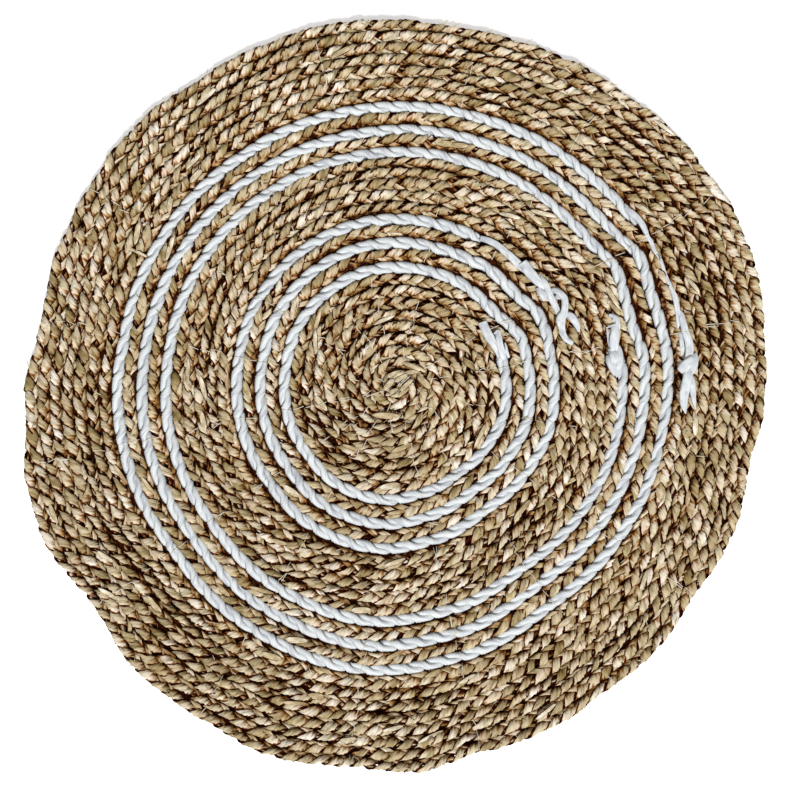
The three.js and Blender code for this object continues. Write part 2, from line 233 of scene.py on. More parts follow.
# The loose ends of the ropes. Each strand is a row of points of x, y, height, width
# and thickness in millimetres, with x and y from the middle of the coil.
ROPE_ENDS = {
    "inner": {
        "tail_strand": (
            (42.5, 76, 4.4, 3, 2.2), (47, 74.5, 5.8, 3.4, 2.3), (51.5, 72, 6.4, 3.6, 2.2),
            (55, 69, 6.6, 3.8, 2.2), (58.5, 66, 6.8, 4, 2), (62, 62.5, 6.5, 3.8, 1.8),
            (65, 59.5, 6, 3, 1.6),
        ),
        "tail_ribbon": (
            (64, 63.5, 7.6, 4.5, 1.5), (65, 62, 7.8, 5, 1.6), (67, 59, 7.9, 5.6, 1.7),
            (71, 54.5, 7.8, 5, 1.7), (74.5, 50.5, 7.6, 2.4, 1.4), (76, 49, 7, 1.2, 1),
        ),
        "beside_ribbon": (
            (72, 57, 6.2, 2.5, 1.6), (73.5, 55, 6.9, 3, 1.8), (75.5, 52.5, 7.4, 3.6, 1.8),
            (77, 49, 7.8, 3.4, 1.8), (78, 46.5, 8, 3.6, 1.8), (80, 42.5, 7.6, 3.6, 1.7),
            (82, 38.5, 7, 3, 1.5), (83.5, 35, 6.4, 2.4, 1.3),
        ),
        "knot_stub": (
            (72, 50.5, 6.8, 3, 1.8), (73, 48.5, 7.8, 4, 2), (74.5, 46.5, 8, 4.2, 2),
            (75, 44, 7.4, 2.3, 1.5),
        ),
        "loop": (
            (78.5, 48.5, 7, 2.5, 1.6), (80, 49, 7.9, 3, 1.8), (82.5, 48, 8.3, 3.4, 1.9),
            (85, 45.5, 8.4, 3.6, 1.9), (85.5, 42, 8.4, 3.6, 1.9), (85, 38, 8.5, 3.8, 1.9),
            (83.5, 35, 8.5, 4.8, 1.9), (83.5, 32.5, 8.4, 4.6, 1.8), (84, 29.5, 8.3, 3.6, 1.7),
            (84.5, 27, 8.2, 3.2, 1.6), (86, 24.5, 8.1, 3, 1.5), (88, 23, 7.9, 2.7, 1.4),
            (89.5, 22, 7.7, 2, 1.2),
        ),
        "inside_loop": (
            (81, 46.5, 7.2, 2.5, 1.4), (82, 46, 7.8, 2.8, 1.5), (83.5, 45.5, 7.6, 2, 1.3),
        ),
        "short_end": (
            (85, 36, 7.2, 2.3, 1.4), (86.5, 36.5, 8, 3, 1.6), (88.5, 36, 8.3, 3.6, 1.7),
            (90.5, 33.5, 8.2, 3.6, 1.6), (92, 30.5, 7.9, 2.8, 1.4), (92.5, 28, 7.4, 1, 1),
        ),
        "start_ribbon": (
            (43.5, 33, 7.6, 4.8, 1.5), (44, 31.5, 7.9, 5, 1.6), (45, 29.5, 8.1, 5, 1.7),
            (47, 25.5, 8.1, 4.8, 1.8), (49.5, 21.5, 7.6, 4, 1.9), (51.5, 18, 6.4, 3.4, 2),
            (52.5, 15, 5, 2.6, 2),
        ),
        "start_strand": (
            (50.5, 28.5, 6.8, 1.8, 1.3), (51.5, 26.5, 7.6, 3, 1.7), (52, 24, 7.9, 3.5, 1.9),
            (52.5, 21, 7.8, 3.8, 2.1), (53.5, 17.5, 7, 3.8, 2.2), (54.5, 14, 5.4, 3, 2.1),
        ),
        "start_curl": (
            (49.5, 27, 7.3, 0.8, 1), (50.5, 28, 8.2, 1.2, 1.1), (51.5, 28.5, 8.5, 1.3, 1.1),
            (52.5, 27, 8.4, 1, 1), (52, 26, 8.3, 0.7, 0.8),
        ),
        "start_fibres": (
            (55, 22.5, 6.4, 0.8, 1), (55.5, 20.5, 6.8, 1.4, 1.3), (56, 18, 6.6, 1.6, 1.4),
            (57, 15, 5.8, 1.3, 1.3),
        ),
    },
    "outer": {
        "thin_strand": (
            (116, 91.5, 4.2, 2.6, 2.2), (119.5, 88.8, 5.6, 3.6, 2.5), (123.5, 85, 6.2, 3.4, 2.4),
            (126, 81, 6.3, 3, 2.2),
            (127.5, 77, 6.5, 2.4, 2), (129.5, 74, 6.4, 2.1, 1.8), (131, 70, 6.2, 1.9, 1.7),
            (133.5, 66.5, 6.1, 1.8, 1.6), (135, 63, 6.2, 1.9, 1.6), (136.5, 58, 6.2, 1.8, 1.6),
            (138, 54.5, 6.3, 1.8, 1.6), (139.5, 51, 6.5, 2.2, 1.7), (141, 47.5, 6.7, 2.6, 1.8),
            (142, 44.5, 6.8, 2.8, 1.8), (143, 39, 6.9, 2.8, 1.7), (143.5, 33.5, 6.6, 2.4, 1.5),
            (143.5, 30, 5.8, 1.7, 1.2),
        ),
        "wide_strand": (
            (143.5, 39, 6.2, 2, 1.5), (145, 36, 7, 3.2, 1.8), (146, 31.5, 7.6, 3.8, 1.9),
            (147, 27.5, 7.6, 4, 1.9), (148.5, 23.5, 7.6, 4.4, 1.9), (149, 19.5, 7.7, 4.4, 1.9),
            (148.5, 16, 7.8, 4, 1.9), (148, 13, 7.6, 3.6, 1.8),
        ),
        "under_strand": (
            (144.5, 27.5, 6, 2.3, 1.4), (145, 23.5, 6.4, 2.5, 1.5), (145.5, 19.5, 6.2, 2.5, 1.5),
            (145.5, 16.5, 5.6, 2, 1.3),
        ),
        "knot_back": (
            (151.5, 17, 7, 2.4, 1.4), (151.8, 14, 8, 3.4, 1.8), (151.4, 10.5, 8.1, 3.4, 1.8),
            (149.5, 7, 7.6, 2.8, 1.5), (148, 4.5, 6.8, 2, 1.2),
        ),
        "knot": (
            (152, 16, 7.4, 4.4, 1.6), (151, 14.3, 8.5, 5.6, 1.9), (149, 12.6, 9, 6, 2.1),
            (147, 11, 9, 6, 2.1), (145.3, 9.3, 8.3, 5.4, 1.8), (144.2, 8, 7.2, 3.8, 1.4),
        ),
        "wide_end": (
            (148, 10, 7.6, 3.6, 1.6), (148, 7, 8.2, 4.6, 1.8), (147.5, 3, 8.3, 5.2, 1.8),
            (146.5, -1.5, 8.2, 5.2, 1.8), (146, -5.5, 8.1, 4.5, 1.7), (146, -9, 8, 3.7, 1.6),
            (147, -13.5, 7.6, 0.7, 1),
        ),
        "thin_end": (
            (148.5, 7, 7.4, 2.5, 1.4), (150, 3, 7.9, 3.3, 1.6), (150.5, -1.5, 7.9, 3.4, 1.6),
            (151, -6, 7.8, 2.5, 1.4), (152, -11.5, 7.4, 0.6, 0.9),
        ),
        "start_hook": (
            (108, 36.5, 7.2, 1.8, 1.4), (110, 36, 7.8, 2.3, 1.6), (112, 34.5, 8, 2.5, 1.7),
            (112.5, 31.5, 8, 2.4, 1.6), (112.5, 29, 7.6, 2, 1.4),
        ),
        "inside_hook": (
            (110, 34.5, 6.9, 1.6, 1.2), (111, 33.5, 7.2, 2.1, 1.3), (111.5, 31.5, 7.2, 1.7, 1.2),
        ),
        "start_fibres": (
            (106.5, 30, 7.6, 0.5, 0.7), (109, 31, 8.1, 1.1, 0.9), (112, 32, 8.2, 1.5, 0.9),
        ),
        "start_ribbon": (
            (111, 31.5, 7.4, 4.2, 1.4), (111, 30, 7.9, 4.7, 1.7), (111, 27, 8.1, 4.9, 1.8),
            (110.5, 22.5, 8.1, 5, 1.8), (110.5, 19.5, 7.9, 4.5, 1.7), (110, 17.5, 7.3, 3.6, 1.5),
        ),
        "side_strand": (
            (107, 30, 6.2, 0.8, 1), (107.5, 27, 6.4, 1.3, 1.3), (108, 22.5, 6.4, 1.4, 1.3),
            (109, 19.5, 6.4, 1.3, 1.2),
        ),
        "start_crumple": (
            (108.5, 19.5, 6.8, 2.6, 1.5), (109.8, 17.5, 8.2, 4.2, 2), (110.5, 15, 8.5, 4.8, 2.1),
            (110.5, 12.5, 8, 4, 1.8), (110.5, 10.5, 7.2, 3, 1.5),
        ),
        "start_fold": (
            (107.5, 16, 6.8, 2.2, 1.4), (108, 13.5, 7.8, 3.8, 1.9), (109.5, 10.8, 8, 4.6, 2.1),
            (111, 8, 7.2, 4, 1.9), (112.5, 5.5, 5.8, 2.6, 1.6),
        ),
        "right_strand": (
            (112.5, 21, 6.8, 2.4, 1.6), (113, 18.5, 7.5, 3.4, 1.9), (113.5, 15, 7.9, 3.8, 2.1),
            (113.2, 11.5, 7.6, 3.8, 2.2), (112.3, 8.5, 6.6, 3.4, 2.1), (111.5, 5.5, 5, 2.5, 2),
        ),
    },
}

# Leaves of husk that lie apart from the plait's pattern: x, y of both ends from the
# middle of the coil, and the width.
START_LEAVES = (
    # start x, start y, end x, end y, width
    (-6.6, -1.5, -1.5, 4.1, 3.6),
    (-1.3, 2.8, 5.9, 6.6, 2.8),
    (1.5, -2.0, 7.9, 3.8, 3.0),
    (0.5, -4.8, 6.1, -0.5, 2.8),
    (-5.6, -4.3, 0.5, -1.0, 3.0),
    (-5.1, 5.1, 0.5, 7.9, 2.6),
    (3.6, 7.1, 12.2, 8.2, 2.6),
    (10.7, 5.6, 16.8, -0.5, 4.2),
)
LOOSE_STRIP = (-136, 70.5, -127.5, 66.5, 1.9)
LEAF_SHAPE = (
    # share of the length, rise, share of the width, thickness
    (0.0, -0.9, 0.25, 0.7),
    (0.2, 0.6, 0.85, 1.0),
    (0.5, 1.0, 1.0, 1.1),
    (0.8, 0.6, 0.85, 1.0),
    (1.0, -0.9, 0.25, 0.7),
)
LEAF_BEDDING = 0.9        # how far a leaf may lie below the highest strand under it
FRAY_SHAPE = (
    # share of the length, rise, share of the width
    (0.0, -0.5, 1.0),
    (0.4, 0.35, 0.85),
    (0.75, 0.5, 0.6),
    (1.0, 0.4, 0.12),
)
FRAY_DROP = 1.2           # how steeply a fray's outer half comes down
FRAY_LOWEST = 0.4
LOOSE_LEAVES = 90
LOOSE_LEAF_SLANT = (14, 9)  # degrees from the row towards the rim: mean and spread
LOOSE_LEAF = {            # ranges from which a loose leaf's chances are drawn
    "reach": (4, 7),      # half of its length
    "off middle": (-1.4, 1.4),
    "width": (2.2, 4.0),
    "tone": (0.3, 1.0),
    "lift": (0.2, 0.6),
}
FRAYS = 420
RIM_FRAYS = 110           # how many of the frays are at the rim
FRAY = {                  # ranges from which a fray's chances are drawn
    "slant": (-40, 60),   # degrees from the row towards the rim
    "off middle": (-2.4, 2.4),
    "off middle at the rim": (1.5, 2.6),
    "length": (2.0, 5.5),
    "width": (0.3, 0.8),
    "tone": (0.4, 1.0),
    "bend": (-0.2, 0.2),
    "lift": (0.1, 1.0),
}
RIBBON_CREASE = 0.72      # what a flat strand's crease leaves of its thickness
WRINKLE_HEIGHT = 0.4
DARK_OVER = 4.0           # painted shade: height over which a flat strand is painted darker downwards
ABOVE_ALL = 50.0          # a height above every piece

# The sewing thread
FIRST_SEWN_TURN = 3       # the turns inside it have the MIDDLE_THREADS
SHOWN_STITCHES = 0.55     # share of the stitches that show
DOUBLED_STITCHES = 0.15   # share of those that are doubled
STITCH_STRAY = 1.3        # how far a stitch's ends stray along the row
STITCH_INWARD = (-0.3, 0.5)   # and across it, at its inner end
STITCH_OUTWARD = (-0.5, 0.3)  # and at its outer end
THREAD_STEP = 0.6         # length of a thread between two sections
THREAD_SUNK = 1.2         # how deep a stitch's ends go in

# Threads in the middle that follow no sewing line: x, y of both ends
MIDDLE_THREADS = (
    (-17.8, 11.2, -14.8, 8.3),
    (-10.0, 4.7, -6.4, 2.4),
    (-16.5, -5.4, -7.0, -1.8),
    (-2.8, -7.0, -6.4, -16.0),
    (7.9, -5.7, 12.8, -11.9),
    (19.9, 13.5, 23.2, 15.1),
    (-11.9, 20.7, -10.3, 17.1),
    (-22.3, -20.3, -19.7, -18.1),
    (19.6, -11.9, 20.6, -19.0),
    (-0.3, 1.4, 5.7, 7.0),
    (0.3, 0.8, 6.3, 6.4),
    (0.9, 0.2, 6.9, 5.8),
)


def ease(share):
    t = np.clip(share, 0.0, 1.0)
    return t * t * (3.0 - 2.0 * t)


def mix(a, b, share):
    return a + (b - a) * share


def room_at(step):
    """How much of a rope's room is open beyond the row at this step, from 0 to 1."""
    turn = step / STEPS
    return sum(
        ease((turn - start) / ROOM_EASE) * ease((end - turn) / ROOM_EASE)
        for start, end in ROPES.values()
    )


def row_edges():
    """Inner and outer edge of the husk row, and a rope's room beyond it, at each step."""
    last = round(TURNS * STEPS)
    inner, outer, room = [], [], []
    for step in range(last + 1):
        open_room = float(room_at(step))
        if step <= STEPS:
            near = 0.0
            far = ROW * step / STEPS
        else:
            near = outer[step - STEPS] + ROPE_ROW * room[step - STEPS]
            far = near + ROW * min((last - step) / END_TAPER, 1.0)
        inner.append(near)
        outer.append(far)
        room.append(open_room)
    return np.array(inner), np.array(outer), np.array(room)


EDGE_INNER, EDGE_OUTER, EDGE_ROOM = row_edges()
LAST = len(EDGE_INNER) - 1


def stand_out(angle, radius):
    """How far the mat stands out or in from the true spiral at angles and radii."""
    table = np.array(SEWN_LINES)
    turned = np.mod(angle, 360.0)
    at = np.searchsorted(table[:, 0], turned, side="right") - 1
    line = table[at]
    after = table[(at + 1) % len(table)]
    span = np.mod(after[..., 0] - line[..., 0], 360.0)
    share = np.mod(turned - line[..., 0], 360.0) / span
    smooth = ease(share)
    inner = mix(line[..., 1], after[..., 1], smooth)
    outer = mix(line[..., 2], after[..., 2], smooth)
    first_half = mix(line[..., 3], line[..., 4], ease(2 * share))
    second_half = mix(line[..., 4], after[..., 3], ease(2 * share - 1))
    rim = np.where(share < 0.5, first_half, second_half)
    towards_outer = mix(inner, outer, (radius - INNER_RADIUS) / (OUTER_RADIUS - INNER_RADIUS))
    towards_rim = np.minimum((radius - OUTER_RADIUS) / (RIM_RADIUS - OUTER_RADIUS), 1.0)
    beyond = mix(outer, rim, towards_rim)
    near = np.where(radius < INNER_RADIUS, inner, towards_outer)
    return np.where(radius < OUTER_RADIUS, near, beyond)


def at_step(table, step):
    """A value between the steps of a table that has one for each step."""
    return np.interp(step, np.arange(LAST + 1), table)


def row_middle(step):
    return (at_step(EDGE_INNER, step) + at_step(EDGE_OUTER, step)) / 2


def rope_middle(step):
    return at_step(EDGE_OUTER, step) + ROPE_ROW * at_step(EDGE_ROOM, step) / 2


def closed_up(step, radius):
    """True radii after the rows have closed on the slots where no twist lies."""
    moved = np.zeros(np.broadcast(step, radius).shape)
    for key, (start, end) in ROPES.items():
        from_start, from_end = TWIST_STARTS[key]
        empty = ((start, start + from_start, True), (end - from_end, end, False))
        for low, high, twist_after in empty:
            passed = np.mod(step / STEPS - low, 1.0)
            slot_step = (low + passed) * STEPS
            room = at_step(EDGE_ROOM, slot_step) * (passed < high - low)
            to_twist = high - low - passed if twist_after else passed
            pull = CLOSED_UP * room * ease(to_twist / CLOSING_EASE)
            away = radius - rope_middle(slot_step)
            half = np.maximum(ROPE_ROW / 2 * room, 1e-6)
            beyond = np.clip(1 - (np.abs(away) - half) / CLOSING_REACH, 0, 1)
            share = np.where(np.abs(away) < half, np.abs(away) / half, beyond)
            moved = moved - np.sign(away) * pull * share
    return radius + moved


def place(step, radius):
    """Points on the mat, in millimetres, at steps along the spiral and true radii."""
    angle = FIRST_ANGLE - 360.0 * step / STEPS
    real = closed_up(step, radius) * stand_out(angle, radius)
    turned = np.radians(angle)
    return np.stack([CENTRE[0] + real * np.cos(turned), CENTRE[1] + real * np.sin(turned)], -1)


class Route:
    """A line along the spiral, measured by its length in millimetres."""

    points_per_step = 8

    def __init__(self, radius_at, start, end):
        count = int((end - start) * STEPS * self.points_per_step) + 2
        self.steps = np.linspace(start * STEPS, end * STEPS, count)
        self.points = place(self.steps, radius_at(self.steps))
        lengths = np.linalg.norm(np.diff(self.points, axis=0), axis=1)
        self.run = np.concatenate([[0.0], np.cumsum(lengths)])
        self.length = self.run[-1]

    def at(self, run):
        """Middle, tangent and outward side at lengths along the line, all flat."""
        reach = 1.5
        ahead = self.point_at(np.clip(run + reach, 0, self.length))
        behind = self.point_at(np.clip(run - reach, 0, self.length))
        along = ahead - behind
        tangent = along / np.hypot(along[:, 0], along[:, 1])[:, None]
        outward = np.stack([-tangent[:, 1], tangent[:, 0]], -1)
        return self.point_at(run), tangent, outward

    def point_at(self, run):
        return np.stack([np.interp(run, self.run, self.points[:, i]) for i in range(2)], -1)

    def spot(self, run):
        """The same at a single length."""
        return (value[0] for value in self.at(np.array([run])))

    def run_at_turn(self, turn):
        return np.interp(turn * STEPS, self.steps, self.run)

    def runs_at_sewn_lines(self):
        """Lengths at which the line crosses the sewing lines."""
        found = []
        for angle, *_ in SEWN_LINES:
            first = (FIRST_ANGLE - angle) / 360.0 * STEPS
            for turn in range(-1, int(TURNS) + 1):
                step = first + turn * STEPS
                if self.steps[0] <= step <= self.steps[-1]:
                    found.append(np.interp(step, self.steps, self.run))
        return np.array(found)


def chance(seed):
    return np.random.default_rng([bpy.context.scene.placemat.seed, seed])


def drift(run, wavelength, seed):
    """Smooth chance values from -1 to 1 along a length."""
    knots = np.asarray(run) / wavelength
    low = np.floor(knots).astype(int)
    values = chance(seed).uniform(-1, 1, low.max() + 2)
    return mix(values[low], values[low + 1], ease(knots - low))


def drifting(name, run, which=0):
    """One row of DRIFTS, along a length."""
    amount, wavelength, seed = DRIFTS[name]
    return amount * drift(run, wavelength, seed + which)


def by_leaf(name, halves, which):
    """A chance value for each leaf of a strand, which changes where the strand is hidden."""
    low, high, seed = LEAF_CHANCES[name]
    whole = np.floor(halves).astype(int)
    values = chance(seed + which).uniform(low, high, whole.max() + 2)
    change_at, change_over = LEAF_CHANGES
    return mix(values[whole], values[whole + 1], ease((halves - whole - change_at) / change_over))


def new_mesh(name, points, quads, uvs=None, values=None):
    """An object at the origin from points in millimetres and an array of quads."""
    mesh = bpy.data.meshes.new(name)
    mesh.vertices.add(len(points))
    mesh.vertices.foreach_set("co", (np.asarray(points) * MM).astype(np.float32).ravel())
    mesh.loops.add(quads.size)
    mesh.loops.foreach_set("vertex_index", quads.astype(np.int32).ravel())
    mesh.polygons.add(len(quads))
    mesh.polygons.foreach_set("loop_start", np.arange(len(quads), dtype=np.int32) * 4)
    mesh.update(calc_edges=True)
    if uvs is not None:
        layer = mesh.uv_layers.new(name="along")
        layer.data.foreach_set("uv", uvs.astype(np.float32).ravel())
    for key, value in (values or {}).items():
        attribute = mesh.attributes.new(key, "FLOAT", "POINT")
        attribute.data.foreach_set("value", np.asarray(value, dtype=np.float32).ravel())
    mesh.polygons.foreach_set("use_smooth", np.ones(len(quads), dtype=bool))
    mesh.validate()
    made = bpy.data.objects.new(name, mesh)
    bpy.context.scene.collection.objects.link(made)
    return made


class Bundle:
    """Collects swept strands and makes one mesh of them."""

    def __init__(self):
        self.points = []
        self.quads = []
        self.uvs = []
        self.values = {}
        self.count = 0

    def sweep(self, rings, run, values):
        """rings: (n, k, 3) sections anticlockwise as seen from the far end; values: name to (n, k)."""
        n, k, _ = rings.shape
        first = rings[0].mean(axis=0)
        last = rings[-1].mean(axis=0)
        ring = np.arange(n - 1)[:, None] * k
        side = np.arange(k)[None, :]
        after = (side + 1) % k
        quads = np.stack([ring + side, ring + after, ring + after + k, ring + side + k], -1)
        quads = quads.reshape(-1, 4)
        u0 = np.broadcast_to(run[:-1, None], (n - 1, k))
        u1 = np.broadcast_to(run[1:, None], (n - 1, k))
        v0 = np.broadcast_to(side / k, (n - 1, k))
        v1 = v0 + 1.0 / k
        uvs = np.stack([
            np.stack([u0, v0], -1), np.stack([u0, v1], -1),
            np.stack([u1, v1], -1), np.stack([u1, v0], -1),
        ], 2).reshape(-1, 4, 2)
        # The caps are quads from the middle point, two sides at a time
        caps, cap_uvs = [], []
        start, end = n * k, n * k + 1
        for i in range(0, k, 2):
            j, m = (i + 1) % k, (i + 2) % k
            caps.append((start, m, j, i))
            caps.append((end, (n - 1) * k + i, (n - 1) * k + j, (n - 1) * k + m))
            cap_uvs.append([(run[0], 0.5)] * 4)
            cap_uvs.append([(run[-1], 0.5)] * 4)
        self.quads.append(np.concatenate([quads, np.array(caps)]) + self.count)
        self.uvs.append(np.concatenate([uvs, np.array(cap_uvs)]))
        self.points.append(np.concatenate([rings.reshape(-1, 3), [first, last]]))
        for key, value in values.items():
            flat = np.concatenate([value.reshape(-1), [value[0].mean(), value[-1].mean()]])
            self.values.setdefault(key, []).append(flat)
        self.count += n * k + 2

    def make(self, name):
        return new_mesh(
            name,
            np.concatenate(self.points),
            np.concatenate(self.quads),
            np.concatenate(self.uvs),
            {key: np.concatenate(value) for key, value in self.values.items()},
        )


def strand_section(sides, square):
    """A unit section, x across the strand and y through it, rounder or squarer."""
    turn = 2 * np.pi * (np.arange(sides) + 0.5) / sides
    x, y = np.cos(turn), np.sin(turn)
    return np.sign(x) * np.abs(x) ** square, np.sign(y) * np.abs(y) ** square


def lay_down(rings):
    """Flattens what would reach into the table."""
    rings[..., 2] = np.maximum(rings[..., 2], 0.0)
    return rings


def rings_across(middle, outward, side, height):
    """Sections across a route, from each point's place sideways and its height."""
    flat = middle[:, None, :] + outward[:, None, :] * side[..., None]
    return lay_down(np.concatenate([flat, height[..., None]], -1))


def figure_of_eight():
    """A strand's path in the plait's section, as lengths, places and normals."""
    phase = np.linspace(0, 2 * np.pi, 361)
    u = SWAY * (np.sin(phase) - SWAY_TURNS * np.sin(3 * phase))
    v = WEAVE * np.tanh(FLAT_TOP * np.sin(2 * phase)) / np.tanh(FLAT_TOP)
    lengths = np.concatenate([[0.0], np.cumsum(np.hypot(np.diff(u), np.diff(v)))])
    du, dv = np.gradient(u, lengths), np.gradient(v, lengths)
    size = np.hypot(du, dv)
    return lengths, u, v, -dv / size, du / size


def plait_strand(route, which, look):
    """Rings and values of one of the plait's three strands."""
    period = look.plait_period / MM
    run = np.linspace(0.0, route.length, int(route.length / period * STEPS_PER_PERIOD))
    # The crossings come a little early or late along the row
    early = drifting("crossings", run) + drifting("near crossings", run)
    early = early + drifting("strand's crossings", run, which)
    loops = (run + early) / period + which / 3 + 1
    halves = 2 * loops + 0.5 - LEAF_CENTRE
    left = np.clip((route.length - run) / END_LENGTH, END_SIZE, 1.0)
    turn = np.interp(run, route.run, route.steps) / STEPS
    rim_start, rim_takes = RIM_STARTS
    to_rim = ease((turn - rim_start) / rim_takes)

    # The strand's own section: x across it and y through it, from -1 to 1
    section = np.array(STRAND_SECTION)
    section = np.concatenate([section, -section])
    x, y = section[:, 0], section[:, 1]
    width = look.strand_width / MM * by_leaf("width", halves, which) * left
    width = width * (1 + drifting("strand width", run, which))
    thick = look.strand_thickness / MM * (1 + drifting("strand thickness", run, which))
    reach = x * width[:, None] / 2
    reach = reach + drifting("leading edge", run, which)[:, None] * (x > 0.5)
    crease = by_leaf("crease", halves, which)[:, None] * (np.abs(x) < 0.5) * np.sign(x * y)

    # The path, u outwards and v upwards in the plait's own section
    lengths, u_path, v_path, u_normal, v_normal = figure_of_eight()
    whole = lengths[-1]
    here = (loops * whole)[:, None]
    around = np.mod(here + reach, whole)
    above = np.mod(here + HEIGHT_WRAP * reach, whole)
    lane = mix(*OUTER_LANE, to_rim)[:, None]
    grow = 1 + drifting("plait width", run)
    u = np.interp(around, lengths, u_path)
    u = u * (1 + lane * np.tanh(3 * u)) - LANE_SHIFT * lane
    u = u * (grow * left)[:, None]
    v = np.interp(above, lengths, v_path) * left[:, None]
    outwards = np.tanh(2.5 * u / SWAY)
    through = y * thick[:, None] / 2 * (1 + crease)
    through = through + outwards * SHINGLE * x
    u = u + np.interp(around, lengths, u_normal) * through
    v = v + np.interp(around, lengths, v_normal) * through
    u = u + drifting("strand sideways", run, which)[:, None]
    u = u + drifting("plait sideways", run)[:, None]
    v = v + by_leaf("height", halves, which)[:, None]

    # The plait leans, and each leaf a little more or less
    lean = look.plait_lean_degrees + RIM_LEAN * to_rim + drifting("lean", run) + drifting("short lean", run)
    roll = np.radians(lean) + np.radians(by_leaf("tilt", halves, which))
    lift = PLAIT_HEIGHT + drifting("plait height", run)
    side = u * np.cos(roll)[:, None] - v * np.sin(roll)[:, None]
    height = u * np.sin(roll)[:, None] + v * np.cos(roll)[:, None] + lift[:, None]
    middle, _, outward = route.at(run)
    rings = rings_across(middle, outward, side, height)

    drifted = 0.5 + drifting("strand tone", run, which)
    tone = LEAF_TONE * by_leaf("tone", halves, which) + (1 - LEAF_TONE) * drifted
    dark_within, dark_over = DARK_BAND
    # Painted shade near the plait's middle height, where a strand passes under the others, and the share
    # towards the edges for the painted edge highlight and shadow line
    values = {
        "tone": spread(tone, rings),
        "deep": np.clip((dark_within - np.abs(rings[..., 2] - PLAIT_HEIGHT)) / dark_over, 0, 1),
        "rim": edge_share(x, rings),
    }
    return rings, run, values


def spread(along, rings):
    """Gives every point of a section its section's value."""
    return np.broadcast_to(along[:, None], rings.shape[:2])


def edge_share(x, rings):
    """How near to the strand's edges each point lies, from 0 to 1."""
    return np.broadcast_to(np.abs(x)[None, :], rings.shape[:2])


def flip(rings, values):
    """Turns sections that run clockwise, as seen from the far end, the other way."""
    return rings[:, ::-1], {key: value[:, ::-1] for key, value in values.items()}


def rope_ply(route, which, look):
    """Rings and values of one of a rope's two plies."""
    pitch = look.rope_pitch / MM
    run = np.linspace(0.0, route.length, int(route.length / pitch * PLY_STEPS))
    phase = 2 * np.pi * (run + drifting("rope turns", run)) / pitch + np.pi * which
    phase = phase - CROSSING_EASE * np.sin(2 * phase)
    ending = ease(np.minimum(run, route.length - run) / ENDS_EASE)
    lift = ROPE_HEIGHT + drifting("rope height", run) - ENDS_SINK * (1 - ending)
    sewn = np.abs(run[:, None] - route.runs_at_sewn_lines()).min(axis=1)
    pinched = 1 - PINCH * np.exp(-((sewn / PINCH_LENGTH) ** 2))
    narrow = pinched * (ENDS_SIZE + (1 - ENDS_SIZE) * ending)
    orbit = PLY_ORBIT * (1 + drifting("rope width", run)) * narrow
    width = look.ply_width / MM * (1 + drifting("ply width", run, which)) * narrow
    thick = PLY_THICKNESS * (1 + drifting("ply thickness", run, which)) * narrow
    x, y = strand_section(PLY_SIDES, 1.0)
    through = orbit[:, None] + y * thick[:, None] / 2
    beside = x * width[:, None] / 2
    cos, sin = np.cos(phase)[:, None], np.sin(phase)[:, None]
    side = cos * through - sin * beside
    height = sin * through + cos * beside + lift[:, None]
    middle, _, outward = route.at(run)
    rings = rings_across(middle, outward, side, height)
    dark_below, dark_over = PLY_DARK_BELOW
    # Painted shade on the low parts of the plies, and the share towards their edges for painted shade where
    # the plies meet
    values = {
        "tone": spread(PLY_TONE + drifting("ply tone", run, which), rings),
        "deep": np.clip((dark_below - rings[..., 2]) / dark_over, 0, 1),
        "rim": edge_share(x, rings),
    }
    return rings, run, values


def smooth_path(points, per_span):
    """A Catmull-Rom curve through the rows of a table, one row for each point."""
    table = np.asarray(points, dtype=float)
    padded = np.vstack([2 * table[0] - table[1], table, 2 * table[-1] - table[-2]])
    out = []
    for i in range(1, len(table)):
        p0, p1, p2, p3 = padded[i - 1:i + 3]
        for t in np.linspace(0, 1, per_span, endpoint=False):
            out.append(0.5 * (
                2 * p1 + (p2 - p0) * t
                + (2 * p0 - 5 * p1 + 4 * p2 - p3) * t * t
                + (3 * p1 - p0 - 3 * p2 + p3) * t ** 3
            ))
    out.append(table[-1])
    return np.array(out)


# A strand's tone, painted shade below a height, and its share towards the edges for painted edge light and
# shade
def strand_values(rings, x, tone, dark_below):
    return {
        "tone": np.zeros(rings.shape[:2]) + tone,
        "deep": np.clip((dark_below - rings[..., 2]) / DARK_OVER, 0, 1),
        "rim": edge_share(x, rings),
    }


def directions(at):
    """Sideways and upward directions across a line of points."""
    ahead = np.gradient(at, axis=0)
    ahead /= np.linalg.norm(ahead, axis=1)[:, None]
    side = np.cross(np.array([0.0, 0.0, 1.0]), ahead)
    side /= np.linalg.norm(side, axis=1)[:, None]
    return side, np.cross(ahead, side)


